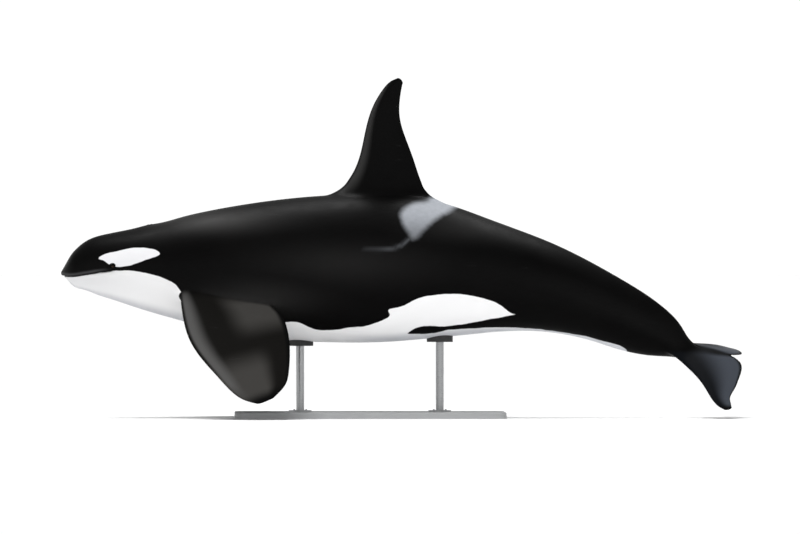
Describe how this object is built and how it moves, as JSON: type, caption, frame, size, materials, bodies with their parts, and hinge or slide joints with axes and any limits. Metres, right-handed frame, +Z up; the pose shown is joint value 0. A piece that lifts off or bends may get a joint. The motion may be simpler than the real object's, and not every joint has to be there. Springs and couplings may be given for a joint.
{
  "type": "orca display model",
  "caption": "Life-size orca with a tall dorsal fin, paddle flippers and swept flukes, tail arched down, held by two rods on a low rounded display base.",
  "frame": {"origin": "centre of the stand base's underside, on the floor", "axes": "+X towards the tail, along the animal's length; +Y to the animal's right side; +Z up"},
  "size_m": [6.5453, 2.56, 3.2697],
  "materials": {
    "skin": "smooth satin skin, black above and white below, with a white patch behind the eye and a grey saddle",
    "eye": "wet gloss",
    "base_paint": "satin paint",
    "rod_steel": "brushed",
    "pad_rubber": "matte"
  },
  "bodies": {
    "root": {"head": "skin", "lower_jaw": "skin", "chest": "skin", "midbody": "skin", "tail_stock": "skin", "dorsal_fin": "skin", "flipper_left": "skin", "flipper_right": "skin", "fluke_left": "skin", "fluke_right": "skin", "eye_left": "eye", "eye_right": "eye", "stand_base": "base_paint", "stand_flange_front": "rod_steel", "stand_rod_front": "rod_steel", "stand_pad_front": "pad_rubber", "stand_flange_rear": "rod_steel", "stand_rod_rear": "rod_steel", "stand_pad_rear": "pad_rubber"}
  },
  "joints": []
}
